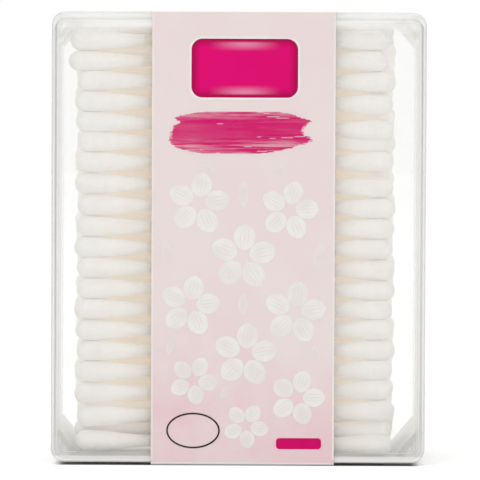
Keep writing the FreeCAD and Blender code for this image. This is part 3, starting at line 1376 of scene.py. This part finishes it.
@dataclass
class ClearCase:
    """The clear tray and its lid, shown as their CAD solids."""

    finishes: tuple[tuple[str, ClearPlasticFinish], ...] = (
        ("tray", TRAY_PLASTIC),
        ("lid", LID_PLASTIC),
    )

    def build(self, effects: SharedEffects) -> list[bpy.types.Object]:
        """Dresses the tray and the lid.

        Args:
            effects: The shared shader groups.

        Returns:
            The dressed pieces.
        """
        pieces = []
        for name, plastic in self.finishes:
            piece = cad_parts[name]
            dress(piece, plastic.build(effects))
            pieces.append(piece)
        return pieces


@dataclass
class BrushStroke:
    """A dry brush stroke, drawn as rows of bristle marks over its CAD field, in millimetres."""

    rows: int = 64
    bristles: int = 9
    thickness: float = 0.02
    left_round: float = 7.5
    right_round: float = 9.0
    left_ragged: float = 3.0
    right_ragged: float = 4.2
    left_bristle: float = 0.9
    right_bristle: float = 1.1
    gap_chance: float = 0.12
    edge_gap_chance: float = 0.42
    left_gap_share: float = 0.4
    gap_half: Range = (0.3, 1.6)
    gap_margin: float = 1.5

    def build(self, ink: bpy.types.Material) -> bpy.types.Object:
        """Builds the stroke inside the box of its CAD field.

        Args:
            ink: The stroke's ink.

        Returns:
            The piece.
        """
        low, high = (np.array(corner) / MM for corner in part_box("print_stroke"))
        dice = np.random.default_rng(STROKE_SEED)
        face = low[1]
        pitch = (high[2] - low[2]) / self.rows
        points, faces = [], []
        left_drift = self.drift(self.bristles, dice)
        right_drift = self.drift(self.bristles + 2, dice)
        for row in range(self.rows):
            share = (row + 0.5) / self.rows
            corner = abs(2 * share - 1.0) ** 5
            left = low[0] + corner * self.left_round
            left += self.left_ragged * left_drift[row] * (0.4 + share)
            left += dice.uniform(0, self.left_bristle)
            right = high[0] - corner * self.right_round
            right -= self.right_ragged * right_drift[row] * (1.3 - share)
            right -= dice.uniform(0, self.right_bristle)
            z = low[2] + row * pitch
            for start, finish in self.dry_gaps(left, right, share, dice):
                first = len(points)
                points += [[start, face, z], [finish, face, z + 0.15 * pitch],
                           [finish, face, z + pitch * 1.02], [start, face, z + pitch * 0.9]]
                faces.append([first, first + 1, first + 2, first + 3])
        piece = mesh_piece("brush_stroke", np.array(points), faces, smooth=False)
        solid = piece.modifiers.new("ink depth", "SOLIDIFY")
        solid.thickness = self.thickness * MM
        solid.offset = -1.0
        dress(piece, ink)
        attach(piece, BAND_BODY)
        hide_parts("print_stroke")
        return piece

    def drift(self, bends: int, dice: np.random.Generator) -> np.ndarray:
        """How far the brush's edge wanders in each row, as a share between 0 and 1."""
        places = np.linspace(0, self.rows - 1, bends)
        return np.interp(np.arange(self.rows), places, dice.uniform(0, 1, bends))

    def dry_gaps(self, left: float, right: float, share: float,
                 dice: np.random.Generator) -> list[tuple[float, float]]:
        """Breaks a bristle's mark where the brush ran dry.

        Args:
            left: Start of the mark.
            right: End of the mark.
            share: How far up the stroke the bristle is.
            dice: Source of the gaps.

        Returns:
            The start and end of each unbroken stretch.
        """
        chance = self.edge_gap_chance if share < 0.2 or share > 0.9 else self.gap_chance
        if dice.uniform() > chance:
            return [(left, right)]
        length = right - left
        centre = dice.uniform(left + 0.6 * length, right - self.gap_margin)
        if dice.uniform() < self.left_gap_share:
            centre = dice.uniform(left + self.gap_margin, left + 0.35 * length)
        half = dice.uniform(*self.gap_half)
        return [(left, centre - half), (centre + half, right)]


@dataclass
class PetalVeins:
    """Fine sketch lines along each petal and leaf of the print, in millimetres."""

    width: float = 0.13
    lift: float = 0.012
    strands: tuple[float, ...] = (-0.36, 0.0, 0.36)
    middle_reach: float = 0.78
    outer_reach: float = 0.66
    steps: int = 9

    def build(self, node: str, name: str, ink: bpy.types.Material) -> bpy.types.Object:
        """Draws the lines over each solid of a printed node.

        Args:
            node: The CAD node of petals or leaves.
            name: The new piece's name.
            ink: The lines' ink.

        Returns:
            The piece.
        """
        points, faces = [], []
        for part in islands(node):
            flat = part[:, [0, 2]]
            centre = flat.mean(0) / 2 + (flat.min(0) + flat.max(0)) / 4
            spread = flat - flat.mean(0)
            axis = np.linalg.eigh(spread.T @ spread)[1][:, 1]
            normal = np.array([-axis[1], axis[0]])
            long = float(np.abs(spread @ axis).max())
            wide = float(np.abs(spread @ normal).max())
            face = float(part[:, 1].min()) - self.lift
            for bend in self.strands:
                self.line(points, faces, centre, axis * long, normal * wide, bend, face)
        piece = mesh_piece(name, np.array(points), faces, smooth=False)
        dress(piece, ink)
        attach(piece, BAND_BODY)
        return piece

    def line(self, points: list, faces: list, centre: np.ndarray, along: np.ndarray,
             across: np.ndarray, bend: float, face: float) -> None:
        """Adds one tapering, bowed line.

        Args:
            points: Vertices so far.
            faces: Faces so far.
            centre: Middle of the petal.
            along: Half its length.
            across: Half its width.
            bend: How far the line bows to one side, as a share of the half width.
            face: Where the ink's surface lies in Y.
        """
        reach = self.outer_reach if bend else self.middle_reach
        steps = np.linspace(-reach, reach, self.steps)
        unit = across / np.linalg.norm(across)
        first = len(points)
        for step in steps:
            spot = centre + along * step + across * bend * (1.0 - 0.55 * step * step)
            half = self.width / 2 * (1.0 - 0.8 * abs(step) / reach)
            for side in (-1, 1):
                x, z = spot + unit * side * half
                points.append([x, face, z])
        for corner in range(first, len(points) - 2, 2):
            faces.append([corner, corner + 1, corner + 3, corner + 2])


@dataclass
class PaperBand:
    """The printed paper band and every field of ink on it."""

    stroke: BrushStroke
    veins: PetalVeins
    fields: tuple[tuple[str, str], ...] = (
        ("print_plaque", "deep_pink_ink"),
        ("print_plaque_rim", "white_ink"),
        ("print_blossoms", "white_ink"),
        ("print_leaves", "pale_ink"),
        ("print_oval", "black_ink"),
        ("print_tag", "deep_pink_ink"),
        ("print_edge_lines", "cream_paper"),
    )

    def inks(self, effects: SharedEffects) -> dict[str, bpy.types.Material]:
        """Makes every ink of the print.

        Args:
            effects: The shared shader groups.

        Returns:
            The materials by slot.
        """
        finishes = {
            "deep_pink_ink": InkFinish("Deep pink ink", (0.70, 0.0, 0.155), (0.58, 0.0, 0.12),
                                       50.0, SheetSurface(0.35, 0.45)),
            "plaque": PlaqueFinish(),
            "brush_pink_ink": BrushInkFinish(),
            "white_ink": InkFinish("White ink", (0.83, 0.815, 0.785), (0.78, 0.745, 0.72)),
            "pale_ink": InkFinish("Pale ink", (0.80, 0.75, 0.73), (0.78, 0.68, 0.67)),
            "vein_ink": InkFinish("Vein ink", (0.74, 0.64, 0.635), (0.77, 0.69, 0.68)),
            "black_ink": InkFinish("Black ink", (0.02, 0.018, 0.018), (0.05, 0.045, 0.045),
                                   300.0),
            "cream_paper": InkFinish("Unprinted paper", (0.85, 0.79, 0.76), (0.82, 0.75, 0.72),
                                     surface=SheetSurface(0.45, 0.55, specular=0.12)),
        }
        return {slot: finish.build(effects) for slot, finish in finishes.items()}

    def build(self, effects: SharedEffects) -> list[bpy.types.Object]:
        """Dresses the band and builds the finer print.

        Args:
            effects: The shared shader groups.

        Returns:
            The band's pieces.
        """
        inks = self.inks(effects)
        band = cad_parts["band"]
        dress(band, BandPaperFinish().build(effects))
        pieces = [band]
        for node, slot in self.fields:
            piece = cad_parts[node]
            dress(piece, inks["plaque" if node == "print_plaque" else slot])
            pieces.append(piece)
        pieces.append(self.stroke.build(inks["brush_pink_ink"]))
        pieces.append(self.veins.build("print_blossoms", "petal_lines", inks["vein_ink"]))
        pieces.append(self.veins.build("print_leaves", "leaf_lines", inks["vein_ink"]))
        return pieces


@dataclass
class Studio:
    """Floor, world, soft lamps and the camera."""

    # Floor: its side, how far its glow reaches and where the case's edges stand, in metres
    floor_side: float = 8.0
    floor_tones: tuple[Colour, Colour] = ((0.86, 0.86, 0.86), (0.88, 0.88, 0.88))
    painted_contact_shadow: Colour = (0.2, 0.195, 0.19)
    glow_reach: Range = (0.15, 1.6)
    glow_levels: Range = (0.22, 0.5)
    case_side: Range = (0.0405, 0.0435)
    case_front: Range = (0.0233, 0.0247)

    # Lamps: name, place and side in metres, power in watts
    lamps: tuple[tuple[str, tuple[float, float, float], float, float], ...] = (
        ("key softbox", (-0.55, -0.85, 0.95), 0.9, 4.2),
        ("fill softbox", (0.75, -0.9, 0.5), 0.9, 2.2),
        ("top softbox", (0.0, 0.1, 1.2), 1.0, 5.0),
    )
    world_level: float = 0.62

    # Camera: distance in metres, angles in degrees, aim and sensor in millimetres
    camera_distance: float = 1.1
    camera_rise: float = 1.8
    camera_roll: float = 0.25
    centre_x: float = 0.35
    centre_z: float = 53.0
    front_y: float = -23.5
    pixels_per_mm: float = 4.26
    frame_pixels: float = 480.0
    sensor: float = 36.0

    def build(self) -> None:
        """Builds everything round the object."""
        self.floor()
        self.world()
        for lamp in self.lamps:
            self.lamp(*lamp)
        self.camera()

    def floor(self) -> None:
        """A white floor that keeps the contact shadow, with painted shadow under the case."""
        half = self.floor_side / 2 / MM
        corners = [[-half, -half, 0], [half, -half, 0], [half, half, 0], [-half, half, 0]]
        piece = mesh_piece("floor", np.array(corners, float), [[0, 1, 2, 3]], smooth=False)
        dress(piece, self.floor_finish())

    def floor_finish(self) -> bpy.types.Material:
        """Pale floor that glows a little in the camera's view, but not under the case, where it is
        painted dark as shadow.

        Returns:
            The floor's material.
        """
        material, build, shader = start_material("White floor")
        shader.inputs["Roughness"].default_value = 0.9
        shader.inputs["Specular IOR Level"].default_value = 0.0
        spot = build.coordinate()
        x, y, _ = build.parts(spot)
        beside = build.span(build.math("ABSOLUTE", x), *self.case_side)
        before = build.span(build.math("ABSOLUTE", y), *self.case_front)
        open_floor = build.math("MAXIMUM", beside, before)
        grain = build.noise(build.place(), 14.0, 2.0, 0.5)
        tone = build.blend(grain, *self.floor_tones)
        # Painted shadow: the floor under the case's footprint is dark
        build.join(build.blend(open_floor, self.painted_contact_shadow, tone), shader.inputs["Base Color"])
        away = build.add("ShaderNodeVectorMath", operation="LENGTH")
        build.join(spot, away.inputs[0])
        lift = build.span(away.outputs["Value"], *self.glow_reach, *self.glow_levels)
        rays = build.add("ShaderNodeLightPath")
        seen = build.math("MAXIMUM", *(rays.outputs[name] for name in (
            "Is Camera Ray", "Is Glossy Ray", "Is Transmission Ray")))
        glow = build.add("ShaderNodeEmission")
        build.feed(WHITE, glow.inputs["Color"])
        build.join(build.math("MULTIPLY", seen, lift, open_floor), glow.inputs["Strength"])
        both = build.add("ShaderNodeAddShader")
        build.join(shader.outputs[0], both.inputs[0])
        build.join(glow.outputs[0], both.inputs[1])
        output = next(node for node in build.tree.nodes if node.type == "OUTPUT_MATERIAL")
        build.join(both.outputs[0], output.inputs["Surface"])
        return material

    def world(self) -> None:
        """White behind the object, softer white for the light that falls on it."""
        world = bpy.data.worlds.new("studio")
        bpy.context.scene.world = world
        world.use_nodes = True
        build = TreeBuilder(world.node_tree)
        rays = build.add("ShaderNodeLightPath")
        behind = build.span(build.parts(build.coordinate("Generated"))[1], -0.35, 0.75, 0.9, 1.0)
        seen = build.math("MAXIMUM", rays.outputs["Is Glossy Ray"],
                          rays.outputs["Is Transmission Ray"])
        level = build.fade(seen, self.world_level, behind)
        shown = build.fade(rays.outputs["Is Camera Ray"], level, 1.0)
        background = build.add("ShaderNodeBackground")
        build.join(shown, background.inputs["Strength"])
        build.feed(WHITE, background.inputs["Color"])
        output = build.add("ShaderNodeOutputWorld")
        build.join(background.outputs[0], output.inputs["Surface"])

    def lamp(self, name: str, spot: tuple[float, float, float], side: float, power: float) -> None:
        """Adds a square softbox turned to the object.

        Args:
            name: The lamp's name.
            spot: Its place in metres.
            side: Its side in metres.
            power: Its power in watts.
        """
        data = bpy.data.lights.new(name, "AREA")
        data.size = side
        data.energy = power
        lamp = bpy.data.objects.new(name, data)
        bpy.context.scene.collection.objects.link(lamp)
        lamp.location = spot
        aim = Vector((0.0, 0.0, self.centre_z * MM)) - lamp.location
        lamp.rotation_mode = "QUATERNION"
        lamp.rotation_quaternion = aim.to_track_quat("-Z", "Y")

    def camera(self) -> None:
        """A long lens square to the front, a little above its middle."""
        data = bpy.data.cameras.new("camera")
        data.sensor_width = self.sensor
        frame_width = self.frame_pixels / self.pixels_per_mm * MM
        data.lens = self.sensor * self.camera_distance / frame_width
        camera = bpy.data.objects.new("camera", data)
        bpy.context.scene.collection.objects.link(camera)
        target = Vector((self.centre_x, self.front_y, self.centre_z)) * MM
        rise = math.radians(self.camera_rise)
        back = Vector((0.0, -math.cos(rise), math.sin(rise)))
        camera.location = target + back * self.camera_distance
        camera.rotation_mode = "QUATERNION"
        roll = Quaternion((0.0, 0.0, 1.0), math.radians(self.camera_roll))
        camera.rotation_quaternion = (-back).to_track_quat("-Z", "Y") @ roll
        bpy.context.scene.camera = camera


def main() -> None:
    """Builds the whole scene in order and reports each piece."""
    logging.basicConfig(level=logging.INFO, format="%(message)s")
    bpy.context.scene.view_settings.view_transform = "Standard"
    effects = SharedEffects.build()
    pieces = ClearCase().build(effects)
    cotton = CottonFinish().build(effects)
    paper = StickFinish().build(effects)
    pieces += SwabStack(SwabShape()).build(cotton, paper)
    pieces += PaperBand(BrushStroke(), PetalVeins()).build(effects)
    for piece in pieces:
        log.info("%s: %d faces", piece.name, len(piece.data.polygons))
    Studio().build()


if __name__ == "__main__":
    main()
